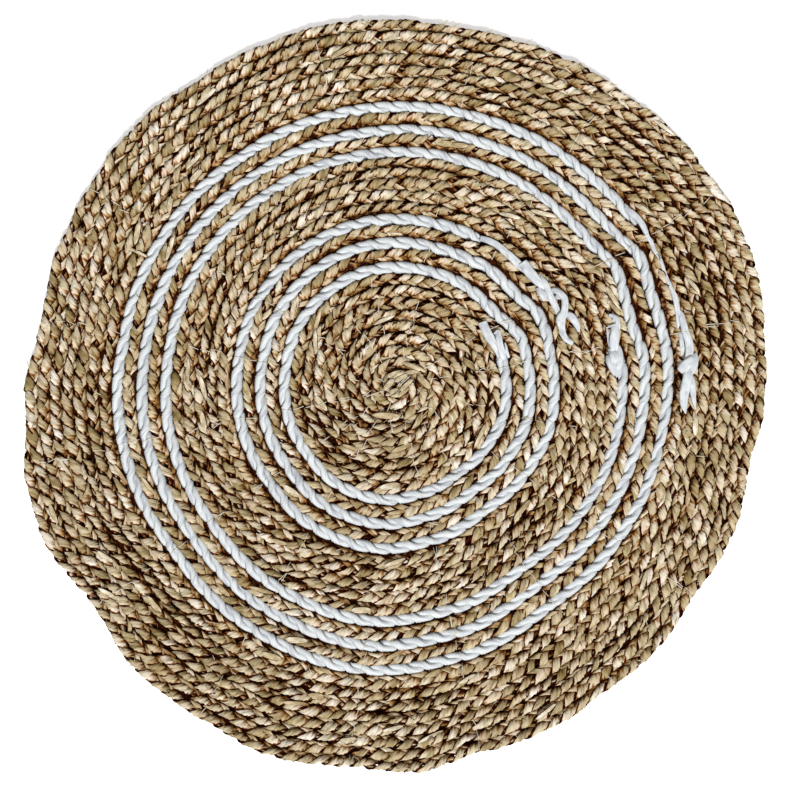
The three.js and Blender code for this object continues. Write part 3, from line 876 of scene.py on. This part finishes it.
def ribbon(bundle, points, tone, seed, sides=10, per_span=6, dark_below=4.6, square=0.7, crinkle=0.0):
    """A flat strand along a table of x, y, height, width and thickness, from the coil's middle."""
    path = smooth_path(points, per_span)
    at = path[:, :3] + np.array([*CENTRE, 0.0])
    side, up = directions(at)
    run = np.concatenate([[0.0], np.cumsum(np.linalg.norm(np.diff(at, axis=0), axis=1))])
    turn = drifting("ribbon turn", run, seed)[:, None]
    across = side * np.cos(turn) + up * np.sin(turn)
    through = up * np.cos(turn) - side * np.sin(turn)
    x, y = strand_section(sides, square)
    width = path[:, 3] * (1 + drifting("ribbon width", run, seed))
    thick = path[:, 4]
    # A shallow crease runs along the middle of the upper face
    crease = np.where((np.abs(x) < 0.5) & (y > 0), RIBBON_CREASE, 1.0)
    rings = (
        at[:, None, :]
        + across[:, None, :] * (x * width[:, None] / 2)[..., None]
        + through[:, None, :] * (y * crease * thick[:, None] / 2)[..., None]
    )
    if crinkle:
        wrinkles = [drifting("ribbon wrinkle", run, 20 * seed + point) for point in range(sides)]
        wrinkles = np.stack(wrinkles, 1)
        rings = rings + through[:, None, :] * (wrinkles * WRINKLE_HEIGHT * crinkle)[..., None]
        # Painted shade and highlight: the tone follows the wrinkles, darker in their hollows and lighter on
        # their ridges
        tone = np.clip(tone + crinkle * wrinkles, 0, 1)
    rings = lay_down(rings)
    bundle.sweep(rings, run, strand_values(rings, x, tone, dark_below))


def what_lies_below():
    """The plait and the ropes, which leaves and thread lie on."""
    bpy.context.view_layer.update()
    return [
        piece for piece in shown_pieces()
        if piece.name.startswith(("husk_plait", "rope_")) and "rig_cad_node" not in piece
    ]


def height_over(pieces, points):
    """The height of the highest of the pieces at each point."""
    heights = []
    for x, y in points:
        best = 0.0
        for piece in pieces:
            hit, at, _, _ = piece.ray_cast((x * MM, y * MM, ABOVE_ALL * MM), (0.0, 0.0, -1.0))
            if hit:
                best = max(best, at.z / MM)
        heights.append(best)
    return np.array(heights)


def taut(run, ground):
    """Heights of a thread pulled tight over the ground between its first and last point."""
    def rise(i, j):
        return ground[j] - ground[i]

    hull = [0]
    for i in range(1, len(run)):
        while len(hull) > 1:
            a, b = hull[-2:]
            if rise(a, b) * (run[i] - run[a]) > rise(a, i) * (run[b] - run[a]):
                break
            hull.pop()
        hull.append(i)
    return np.interp(run, run[hull], ground[hull])


def stitch(bundle, pieces, start, end, look):
    """A thread pulled tight over what lies between two points, both ends sunk in."""
    radius = look.thread_width / MM / 2
    length = np.hypot(*(np.asarray(end) - np.asarray(start)))
    count = max(int(length / THREAD_STEP), 4)
    run = np.linspace(0.0, length, count)
    flat = np.linspace(start, end, count)
    ground = height_over(pieces, flat)
    ground[[0, -1]] -= THREAD_SUNK
    at = np.column_stack([flat, taut(run, ground) + radius * 0.7])
    side, up = directions(at)
    x, y = strand_section(6, 1.0)
    rings = (
        at[:, None, :]
        + side[:, None, :] * (x * radius)[:, None]
        + up[:, None, :] * (y * radius)[:, None]
    )
    bundle.sweep(lay_down(rings), run, strand_values(rings, x, 0.5, 0.0))


def leaf(bundle, pieces, start, end, width, tone, seed, lift=0.5, blunt=0.25):
    """A flat leaf of husk that lies on the pieces, with both ends tucked in."""
    share, rise, wide, thick = np.array(LEAF_SHAPE).T
    wide[[0, -1]] = blunt
    flat = mix(np.asarray(start)[None, :], np.asarray(end)[None, :], share[:, None])
    ground = height_over(pieces, flat)
    level = np.maximum(ground[1:-1].max() - LEAF_BEDDING, ground)
    rows = np.column_stack([flat - np.array(CENTRE), level + rise * lift, width * wide, thick])
    ribbon(bundle, rows, tone, seed, sides=8, per_span=3, dark_below=5.8, square=0.5)


def fray(bundle, pieces, root, heading, length, width, tone, seed):
    """A loose pointed fibre that leaves the plait at its root."""
    ground = height_over(pieces, [root])[0]
    bend = chance(SEEDS["fray bend"] + seed).uniform(*FRAY["bend"])
    bend = np.array([-heading[1], heading[0]]) * bend
    lift = chance(SEEDS["fray lift"] + seed).uniform(*FRAY["lift"])
    rows = []
    for share, rise, wide in FRAY_SHAPE:
        at = root + heading * length * share + bend * length * share ** 2 - np.array(CENTRE)
        drop = 0.0 if share < 0.5 else (share - 0.5) * FRAY_DROP
        height = max(ground + rise + lift * share - drop, FRAY_LOWEST)
        rows.append((*at, height, width * wide, 0.3 * wide + 0.1))
    ribbon(bundle, rows, tone, seed, sides=4, per_span=2, dark_below=5.0, square=1.0)


def finish_piece(made, material, slot, *nodes):
    """Gives a piece its material, puts it under the root body and hides the CAD nodes that it replaces; the
    slot is not used.
    """
    if material:
        made.data.materials.append(material)
    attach(made, "root")
    if nodes:
        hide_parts(*nodes)


def new_material(name):
    material = bpy.data.materials.new(name)
    material.use_nodes = True
    return material, material.node_tree


def add(tree, kind, **settings):
    node = tree.nodes.new(kind)
    for key, value in settings.items():
        setattr(node, key, value)
    return node


def feed(tree, socket, value):
    """Links a socket to another one, or sets it."""
    if isinstance(value, bpy.types.NodeSocket):
        tree.links.new(value, socket)
    else:
        socket.default_value = value


def ramp(tree, source, stops):
    """Colours along a value. A stop is a position and a colour, or one number for a grey."""
    node = add(tree, "ShaderNodeValToRGB")
    elements = node.color_ramp.elements
    while len(elements) < len(stops):
        elements.new(0.5)
    for element, (position, colour) in zip(elements, stops):
        element.position = position
        element.color = (*np.broadcast_to(colour, 3), 1.0)
    tree.links.new(source, node.inputs["Fac"])
    return node.outputs["Color"]


def tinted(tree, colour, source, stops, share=1.0):
    """A colour multiplied, in full or by a share, by the ramp of a value."""
    node = add(tree, "ShaderNodeMix", data_type="RGBA", blend_type="MULTIPLY")
    node.inputs["Factor"].default_value = share
    feed(tree, node.inputs["A"], colour)
    tree.links.new(ramp(tree, source, stops), node.inputs["B"])
    return node.outputs["Result"]


def attribute(tree, name):
    return add(tree, "ShaderNodeAttribute", attribute_name=name).outputs["Fac"]


def math_node(tree, kind, *values, clamp=False):
    node = add(tree, "ShaderNodeMath", operation=kind, use_clamp=clamp)
    for socket, value in zip(node.inputs, values):
        feed(tree, socket, value)
    return node.outputs[0]


def fibres(tree, along, across, detail):
    """Noise drawn out along the strand, from the strand's own map."""
    uv = add(tree, "ShaderNodeUVMap", uv_map="along")
    mapping = add(tree, "ShaderNodeMapping")
    mapping.inputs["Scale"].default_value = (along, across, 1.0)
    tree.links.new(uv.outputs["UV"], mapping.inputs["Vector"])
    noise = add(tree, "ShaderNodeTexNoise", noise_dimensions="2D")
    noise.inputs["Scale"].default_value = 1.0
    noise.inputs["Detail"].default_value = detail
    noise.inputs["Roughness"].default_value = 0.6
    tree.links.new(mapping.outputs["Vector"], noise.inputs["Vector"])
    return noise.outputs["Fac"]


def surface(tree, colour, roughness, specular=None, bump=None):
    """Colour and gloss of a material. A bump is its strength, its distance and a height."""
    shader = tree.nodes["Principled BSDF"]
    tree.links.new(colour, shader.inputs["Base Color"])
    shader.inputs["Roughness"].default_value = roughness
    if specular is not None:
        shader.inputs["Specular IOR Level"].default_value = specular
    if bump:
        strength, distance, height = bump
        node = add(tree, "ShaderNodeBump")
        node.inputs["Strength"].default_value = strength
        node.inputs["Distance"].default_value = distance
        tree.links.new(height, node.inputs["Height"])
        tree.links.new(node.outputs["Normal"], shader.inputs["Normal"])


def husk_tones(tree, value, look):
    return ramp(tree, value, ((0.0, look.husk_dark), (0.5, look.husk_middle), (1.0, look.husk_light)))


def streaked(tree, colour, streaks):
    stops = ((0.3, (0.52, 0.48, 0.33)), (0.5, 1.0), (0.8, (1.12, 1.13, 1.1)))
    return tinted(tree, colour, streaks, stops, 0.8)


def husk_material(look):
    material, tree = new_material("plaited_husk")
    streaks = fibres(tree, 0.12, 9.0, 3.0)
    fine = fibres(tree, 0.5, 26.0, 2.0)
    colour = husk_tones(tree, attribute(tree, "tone"), look)
    patches = fibres(tree, 0.11, 2.2, 2.0)
    colour = tinted(tree, colour, patches, (
        (0.28, (0.52, 0.47, 0.26)), (0.45, (0.9, 0.89, 0.76)), (0.6, 1.0), (0.8, (1.1, 1.12, 1.14)),
    ), 0.85)
    colour = streaked(tree, colour, streaks)
    colour = tinted(tree, colour, fine, ((0.35, (0.7, 0.6, 0.45)), (0.6, 1.05)), 0.5)
    # Painted shade: nearly black where a strand passes under another, near the plait's middle height, and
    # along its edges
    colour = tinted(tree, colour, attribute(tree, "deep"), (
        (0.0, 1.0), (0.4, (0.55, 0.31, 0.12)), (0.8, (0.05, 0.006, 0.001)),
    ))
    # Along the edges: a painted highlight band, then a near-black painted shadow line at the very edge
    colour = tinted(tree, colour, attribute(tree, "rim"), (
        (0.55, 1.0), (0.73, (1.15, 1.15, 1.14)), (0.8, (0.48, 0.2, 0.06)), (0.87, (0.05, 0.006, 0.001)),
    ))
    surface(tree, colour, 0.55, 0.03, (0.6, 0.0004, math_node(tree, "ADD", streaks, fine, clamp=True)))
    return material


def rope_material(look):
    material, tree = new_material("bleached_rope")
    fine = fibres(tree, 0.16, 16.0, 2.0)
    creases = fibres(tree, 0.13, 3.5, 2.0)
    colour = tinted(tree, (*look.rope_colour, 1.0), fine, (
        (0.3, (0.82, 0.82, 0.86)), (0.5, 1.0), (0.75, 1.06),
    ))
    specks = fibres(tree, 1.6, 9.0, 2.0)
    colour = tinted(tree, colour, specks, ((0.2, (0.12, 0.1, 0.1)), (0.25, 1.0)))
    # Painted shade: greyer and browner low down on the plies, and a little darker at their edges
    colour = tinted(tree, colour, attribute(tree, "deep"), (
        (0.0, 1.0), (0.4, (0.9, 0.9, 0.92)), (0.9, (0.3, 0.24, 0.2)),
    ))
    colour = tinted(tree, colour, attribute(tree, "rim"), ((0.93, 1.0), (1.0, (0.85, 0.84, 0.86))))
    # Crease noise, which also bumps the surface: darker where it is low, partly the ply's own streaks and
    # partly painted shade in the creases
    colour = tinted(tree, colour, creases, (
        (0.32, (0.72, 0.72, 0.76)), (0.42, (0.98, 0.98, 0.985)), (0.6, 1.0),
    ))
    colour = tinted(tree, colour, attribute(tree, "tone"), (
        (0.0, (0.82, 0.82, 0.845)), (0.5, (0.96, 0.96, 0.965)), (1.0, 1.0),
    ))
    surface(tree, colour, 0.6, 0.25, (0.4, 0.0003, math_node(tree, "ADD", fine, creases, clamp=True)))
    return material


def core_material():
    material, tree = new_material("husk_in_shade")
    coordinates = add(tree, "ShaderNodeTexCoord")
    noise = add(tree, "ShaderNodeTexNoise")
    noise.inputs["Scale"].default_value = 900.0
    noise.inputs["Detail"].default_value = 3.0
    tree.links.new(coordinates.outputs["Object"], noise.inputs["Vector"])
    # Painted shade: near-black reddish brown for the husk deep in shade between the strands, not its own
    # colour
    colour = ramp(tree, noise.outputs["Fac"], ((0.3, (0.012, 0.002, 0.0005)), (0.7, (0.05, 0.01, 0.002))))
    surface(tree, colour, 0.9, 0.02)
    return material


def underside_material(look):
    """Husk rows from below: slanting leaves on both sides of each row's middle."""
    material, tree = new_material("husk_from_below")
    uv = add(tree, "ShaderNodeUVMap", uv_map="along")
    split = add(tree, "ShaderNodeSeparateXYZ")
    tree.links.new(uv.outputs["UV"], split.inputs["Vector"])
    along, across = split.outputs["X"], split.outputs["Y"]
    centred = math_node(tree, "SUBTRACT", across, 0.5)
    off_middle = math_node(tree, "ABSOLUTE", centred)
    far_side = math_node(tree, "GREATER_THAN", centred, 0.0)
    # Leaves are counted along the row, slanted, and staggered on the far side
    leaves_per_mm = 3 / (look.plait_period / MM)
    leaves = math_node(tree, "MULTIPLY", along, leaves_per_mm)
    slanted = math_node(tree, "SUBTRACT", leaves, off_middle)
    staggered = math_node(tree, "MULTIPLY_ADD", far_side, 0.5, slanted)
    number = math_node(tree, "FLOOR", staggered)
    tone = add(tree, "ShaderNodeTexWhiteNoise", noise_dimensions="1D")
    tree.links.new(math_node(tree, "MULTIPLY_ADD", far_side, 0.37, number), tone.inputs["W"])
    # Painted shade: near-black lines between the leaves and at the row's edges, and dark brown along the
    # row's middle, where shade falls in the gaps
    painted_gap_shade = (0.1, 0.03, 0.01)
    colour = husk_tones(tree, tone.outputs["Value"], look)
    colour = streaked(tree, colour, fibres(tree, 0.2, 12.0, 3.0))
    colour = tinted(tree, colour, math_node(tree, "FRACT", staggered), (
        (0.0, painted_gap_shade), (0.1, 1.0), (0.8, 1.0), (0.97, painted_gap_shade),
    ))
    colour = tinted(tree, colour, off_middle, (
        (0.0, (0.3, 0.12, 0.04)), (0.04, 1.0), (0.4, 1.0), (0.48, painted_gap_shade),
    ))
    surface(tree, colour, 0.6, 0.03)
    return material


def thread_material(look):
    material, tree = new_material("sewing_thread")
    fine = fibres(tree, 1.5, 6.0, 2.0)
    colour = tinted(tree, (*look.thread_colour, 1.0), fine, ((0.3, (0.7, 0.66, 0.58)), (0.7, 1.05)))
    surface(tree, colour, 0.6)
    return material


def length_property(name, description, default):
    return bpy.props.FloatProperty(
        name=name, description=description, default=default, min=0.0, subtype="DISTANCE", unit="LENGTH")


def colour_property(name, description, default):
    return bpy.props.FloatVectorProperty(
        name=name, description=description, default=default, size=3, min=0.0, max=1.0, subtype="COLOR")


class PlacematSettings(bpy.types.PropertyGroup):
    """Sizes and colours of the placemat."""

    seed: bpy.props.IntProperty(
        name="Seed", description="Which of the chance shapes the husk takes", default=3, min=0)
    strand_width: length_property("Strand width", "Width of a strand of the husk plait", 0.0058)
    strand_thickness: length_property("Strand thickness", "Thickness of a strand of the plait", 0.0015)
    plait_period: length_property(
        "Plait period", "Length in which a strand crosses the plait and comes back", 0.0245)
    plait_lean: bpy.props.FloatProperty(
        name="Plait lean", description="How far the plait leans, its outer edge up",
        default=math.radians(31.0), subtype="ANGLE", unit="ROTATION")
    rope_pitch: length_property("Rope pitch", "Length in which a ply goes once round the rope", 0.0204)
    ply_width: length_property("Ply width", "Width of one of a rope's two plies", 0.005)
    thread_width: length_property("Thread width", "Thickness of the sewing thread", 0.0004)
    husk_light: colour_property("Light husk", "Palest leaves of the plait", (0.76, 0.72, 0.68))
    husk_middle: colour_property("Husk", "Most leaves of the plait", (0.575, 0.485, 0.36))
    husk_dark: colour_property("Dark husk", "Brownest leaves of the plait", (0.31, 0.235, 0.12))
    rope_colour: colour_property("Rope", "Bleached rope", (0.615, 0.64, 0.64))
    thread_colour: colour_property("Thread", "Sewing thread", (0.66, 0.62, 0.54))

    @property
    def plait_lean_degrees(self):
        return math.degrees(self.plait_lean)


class PLACEMAT_OT_core(bpy.types.Operator):
    """Adds the husk inside the rows, painted in deep shade, seen between the strands"""

    bl_idname = "placemat.core"
    bl_label = "Inside of the rows"

    def execute(self, context):
        steps = np.arange(LAST + 1)
        # In the last turn it stays well inside the row, so that the strands cover its side
        inset = CORE_INSET * ease((steps - (LAST - STEPS)) / CORE_INSET_STEPS)
        reach = np.maximum(EDGE_OUTER - inset, EDGE_INNER)
        near, far = place(steps, EDGE_INNER), place(steps, reach)
        middle = place(steps, (EDGE_INNER + reach) / 2)
        run = np.concatenate([[0.0], np.cumsum(np.linalg.norm(np.diff(middle, axis=0), axis=1))])
        rails = {
            name: np.column_stack([line, np.full(len(steps), height)])
            for name, line, height in (
                ("near low", near, CORE_LOW), ("near slot", near, SLOT_LOW), ("near top", near, CORE_VALLEY),
                ("crown", middle, CORE_CROWN),
                ("far top", far, CORE_VALLEY), ("far slot", far, SLOT_LOW), ("far low", far, CORE_LOW),
            )
        }
        faces, uvs, slots = [], [], []

        def face(a, i, b, j, across=(0, 0), slot=0):
            """A face from step i of one rail to step j of another, one step long."""
            faces.append((*rails[a][i:i + 2], *rails[b][j:j + 2][::-1]))
            places = ((i, across[0]), (i + 1, across[0]), (j + 1, across[1]), (j, across[1]))
            uvs.append([(run[step], share) for step, share in places])
            slots.append(slot)

        for step in range(LAST):
            face("near top", step, "crown", step)
            face("crown", step, "far top", step)
            face("far low", step, "near low", step, (1, 0), 1)
            if step >= LAST - STEPS:
                # Below the rim's strands it shows the same leaves as the underside
                face("far top", step, "far low", step, (0.25, 0.45), 1)
            elif EDGE_ROOM[step] > 0 or EDGE_ROOM[step + 1] > 0:
                # A thin web joins the rows under the rope
                beyond = step + STEPS
                face("far top", step, "near top", beyond)
                face("near slot", beyond, "far slot", step)
                face("far slot", step, "far low", step)
                face("near low", beyond, "near slot", beyond)
        corners = np.array(faces).reshape(-1, 3) * MM
        mesh = bpy.data.meshes.new("husk_core")
        mesh.from_pydata(corners.tolist(), [], np.arange(len(corners)).reshape(-1, 4).tolist())
        layer = mesh.uv_layers.new(name="along")
        layer.data.foreach_set("uv", np.array(uvs, dtype=np.float32).ravel())
        mesh.polygons.foreach_set("material_index", np.array(slots, dtype=np.int32))
        mesh.materials.append(core_material())
        mesh.materials.append(underside_material(context.scene.placemat))
        made = bpy.data.objects.new("husk_core", mesh)
        context.scene.collection.objects.link(made)
        bpy.ops.object.select_all(action="DESELECT")
        context.view_layer.objects.active = made
        made.select_set(True)
        bpy.ops.object.mode_set(mode="EDIT")
        bpy.ops.mesh.select_all(action="SELECT")
        bpy.ops.mesh.remove_doubles(threshold=1e-6)
        bpy.ops.mesh.dissolve_degenerate(threshold=1e-7)
        bpy.ops.mesh.normals_make_consistent(inside=False)
        bpy.ops.object.mode_set(mode="OBJECT")
        finish_piece(made, None, "husk", "husk_coil")
        return {"FINISHED"}


class PLACEMAT_OT_plait(bpy.types.Operator):
    """Adds the three-strand husk plait, coiled from the middle to the rim"""

    bl_idname = "placemat.plait"
    bl_label = "Husk plait"

    def execute(self, context):
        look = context.scene.placemat
        material = husk_material(look)
        route = Route(row_middle, PLAIT_START, TURNS)
        strands = []
        for which in range(3):
            rings, run, values = plait_strand(route, which, look)
            strands.append((run, *flip(rings, values)))
        for name, start, end in RINGS:
            bundle = Bundle()
            for run, rings, values in strands:
                first = np.searchsorted(run, route.run_at_turn(start))
                last = np.searchsorted(run, route.run_at_turn(end))
                part = slice(first, last + 1)
                bundle.sweep(rings[part], run[part], {key: value[part] for key, value in values.items()})
            finish_piece(bundle.make(name), material, "husk", "husk_coil")
        return {"FINISHED"}


class PLACEMAT_OT_ropes(bpy.types.Operator):
    """Adds the two white ropes between the husk rows"""

    bl_idname = "placemat.ropes"
    bl_label = "White ropes"

    def execute(self, context):
        look = context.scene.placemat
        material = rope_material(look)
        for key, (start, end) in ROPES.items():
            from_start, from_end = TWIST_STARTS[key]
            route = Route(rope_middle, start + from_start, end - from_end)
            twist, ends = Bundle(), Bundle()
            for which in range(2):
                rings, run, values = rope_ply(route, which, look)
                rings, values = flip(rings, values)
                twist.sweep(rings, run, values)
            for number, strand in enumerate(ROPE_ENDS[key].values()):
                ribbon(ends, strand, 0.2, number, crinkle=0.6)
            for part, bundle in (("twist", twist), ("ends", ends)):
                finish_piece(bundle.make(f"rope_{key}_{part}"), material, "rope", f"rope_{key}")
        return {"FINISHED"}


class PLACEMAT_OT_leaves(bpy.types.Operator):
    """Adds the folded start of the plait, loose leaves and fibres of husk"""

    bl_idname = "placemat.leaves"
    bl_label = "Loose husk"

    def execute(self, context):
        below = what_lies_below()
        husk = bpy.data.materials["plaited_husk"]
        leaves = Bundle()
        middle = np.array(CENTRE)
        for number, (x0, y0, x1, y1, width) in enumerate(START_LEAVES):
            tone = 0.75 - 0.08 * (number % 4)
            leaf(leaves, below, middle + (x0, y0), middle + (x1, y1), width, tone, number)
        x0, y0, x1, y1, width = LOOSE_STRIP
        leaf(leaves, below, middle + (x0, y0), middle + (x1, y1), width, 0.8, 50, lift=0.8, blunt=0.9)

        route = Route(row_middle, 1.5, TURNS - 0.1)
        draw = chance(SEEDS["loose leaves"])
        for number in range(LOOSE_LEAVES):
            at, tangent, outward = route.spot(draw.uniform(0, route.length))
            slant = np.radians(draw.normal(*LOOSE_LEAF_SLANT))
            heading = tangent * np.cos(slant) + outward * np.sin(slant)
            reach = draw.uniform(*LOOSE_LEAF["reach"])
            start = at + outward * draw.uniform(*LOOSE_LEAF["off middle"]) - heading * reach
            width, tone, lift = (draw.uniform(*LOOSE_LEAF[key]) for key in ("width", "tone", "lift"))
            leaf(leaves, below, start, start + 2 * reach * heading, width, tone, 60 + number, lift=lift)
        finish_piece(leaves.make("husk_leaves"), husk, "husk")

        frays = Bundle()
        draw = chance(SEEDS["frays"])
        rim_start = route.run_at_turn(TURNS - 1.1)
        for number in range(FRAYS):
            run = draw.uniform(0, route.length)
            at_rim = number < RIM_FRAYS
            if at_rim:
                run = draw.uniform(rim_start, route.length)
            at, tangent, outward = route.spot(run)
            slant = np.radians(draw.uniform(*FRAY["slant"]))
            heading = tangent * np.cos(slant) + outward * np.sin(slant)
            off_middle = draw.uniform(*FRAY["off middle at the rim" if at_rim else "off middle"])
            length, width, tone = (draw.uniform(*FRAY[key]) for key in ("length", "width", "tone"))
            fray(frays, below, at + outward * off_middle, heading, length, width, tone, number)
        finish_piece(frays.make("husk_fibres"), husk, "husk")
        return {"FINISHED"}


class PLACEMAT_OT_thread(bpy.types.Operator):
    """Adds the thread that sews the rows to each other"""

    bl_idname = "placemat.thread"
    bl_label = "Sewing thread"

    def execute(self, context):
        look = context.scene.placemat
        below = what_lies_below()
        draw = chance(SEEDS["stitches"])
        thread = Bundle()
        for angle, *_ in SEWN_LINES:
            first = (FIRST_ANGLE - angle) / 360.0 * STEPS
            for turn in range(FIRST_SEWN_TURN, int(TURNS) + 1):
                step = first + turn * STEPS
                if step > LAST - 2 or draw.uniform() > SHOWN_STITCHES:
                    continue
                near, far = at_step(EDGE_INNER, step), at_step(EDGE_OUTER, step)
                crossings = [(near, far)]
                if at_step(EDGE_ROOM, step) > 0.9:
                    crossings.append((far, far + ROPE_ROW))
                for low, high in crossings:
                    steps_per_mm = STEPS / (2 * np.pi * max(low, 10.0))
                    doubled = draw.uniform() < DOUBLED_STITCHES
                    for _ in range(2 if doubled else 1):
                        stray = draw.uniform(-STITCH_STRAY, STITCH_STRAY, 2) * steps_per_mm
                        start = place(step + stray[0], low + draw.uniform(*STITCH_INWARD))
                        end = place(step + stray[1], high + draw.uniform(*STITCH_OUTWARD))
                        stitch(thread, below, start, end, look)
        middle = np.array(CENTRE)
        for x0, y0, x1, y1 in MIDDLE_THREADS:
            stitch(thread, below, middle + (x0, y0), middle + (x1, y1), look)
        finish_piece(thread.make("sewing_thread"), thread_material(look), "husk")
        return {"FINISHED"}


class PLACEMAT_OT_stage(bpy.types.Operator):
    """Adds the floor, the soft lights and the camera straight above"""

    bl_idname = "placemat.stage"
    bl_label = "Floor, lights and camera"

    def execute(self, context):
        scene = context.scene
        bpy.ops.mesh.primitive_plane_add(size=30.0, location=(0, 0, -0.0002))
        floor = context.object
        floor.name = "floor"
        material, tree = new_material("floor")
        shader = tree.nodes["Principled BSDF"]
        shader.inputs["Base Color"].default_value = (0.92, 0.92, 0.92, 1.0)
        shader.inputs["Roughness"].default_value = 0.9
        shader.inputs["Emission Color"].default_value = (1.0, 1.0, 1.0, 1.0)
        shader.inputs["Emission Strength"].default_value = 0.3
        floor.data.materials.append(material)
        floor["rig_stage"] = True

        # A soft sun over the mat's near edge, and a wide weak one above
        lights = (
            # name, direction it comes from, spread in degrees, strength
            ("key", (0.18, -0.85, 1.3), 16.0, 3.6),
            ("fill", (-0.3, 0.5, 1.6), 60.0, 0.3),
        )
        for name, comes_from, spread, strength in lights:
            data = bpy.data.lights.new(name, "SUN")
            data.angle = math.radians(spread)
            data.energy = strength
            lamp = bpy.data.objects.new(name, data)
            lamp.location = comes_from
            lamp.rotation_euler = (-Vector(comes_from)).to_track_quat("-Z", "Y").to_euler()
            scene.collection.objects.link(lamp)
        scene.view_settings.view_transform = "Standard"
        world = bpy.data.worlds.new("studio")
        world.use_nodes = True
        background = world.node_tree.nodes["Background"]
        background.inputs["Color"].default_value = (1.0, 1.0, 1.0, 1.0)
        background.inputs["Strength"].default_value = 0.4
        scene.world = world

        # The photograph's frame is 800 pixels of 0.51 mm at the height of the rows, and
        # the mat lies a little off its middle
        view_width = 800 * 0.51 * MM
        view_middle = (2.55 * MM, -2.3 * MM)
        rows_height = 6 * MM
        lens, sensor = 85.0, 36.0
        camera_data = bpy.data.cameras.new("camera")
        camera_data.lens = lens
        camera_data.sensor_width = sensor
        camera = bpy.data.objects.new("camera", camera_data)
        camera.location = (*view_middle, view_width * lens / sensor + rows_height)
        scene.collection.objects.link(camera)
        scene.camera = camera
        return {"FINISHED"}


class PLACEMAT_PT_panel(bpy.types.Panel):
    """The placemat's pieces"""

    bl_idname = "PLACEMAT_PT_panel"
    bl_label = "Corn husk placemat"
    bl_space_type = "VIEW_3D"
    bl_region_type = "UI"
    bl_category = "Placemat"

    def draw(self, context):
        settings = context.scene.placemat
        column = self.layout.column()
        for key in settings.__annotations__:
            column.prop(settings, key)
        for operator in OPERATORS:
            column.operator(operator.bl_idname)


OPERATORS = (
    PLACEMAT_OT_core,
    PLACEMAT_OT_plait,
    PLACEMAT_OT_ropes,
    PLACEMAT_OT_leaves,
    PLACEMAT_OT_thread,
    PLACEMAT_OT_stage,
)
CLASSES = (PlacematSettings, *OPERATORS, PLACEMAT_PT_panel)


def register():
    for cls in CLASSES:
        bpy.utils.register_class(cls)
    bpy.types.Scene.placemat = bpy.props.PointerProperty(type=PlacematSettings)


def unregister():
    del bpy.types.Scene.placemat
    for cls in reversed(CLASSES):
        bpy.utils.unregister_class(cls)


def main():
    register()
    bpy.ops.placemat.core()
    bpy.ops.placemat.plait()
    bpy.ops.placemat.ropes()
    bpy.ops.placemat.leaves()
    bpy.ops.placemat.thread()
    bpy.ops.placemat.stage()


if __name__ == "__main__":
    main()
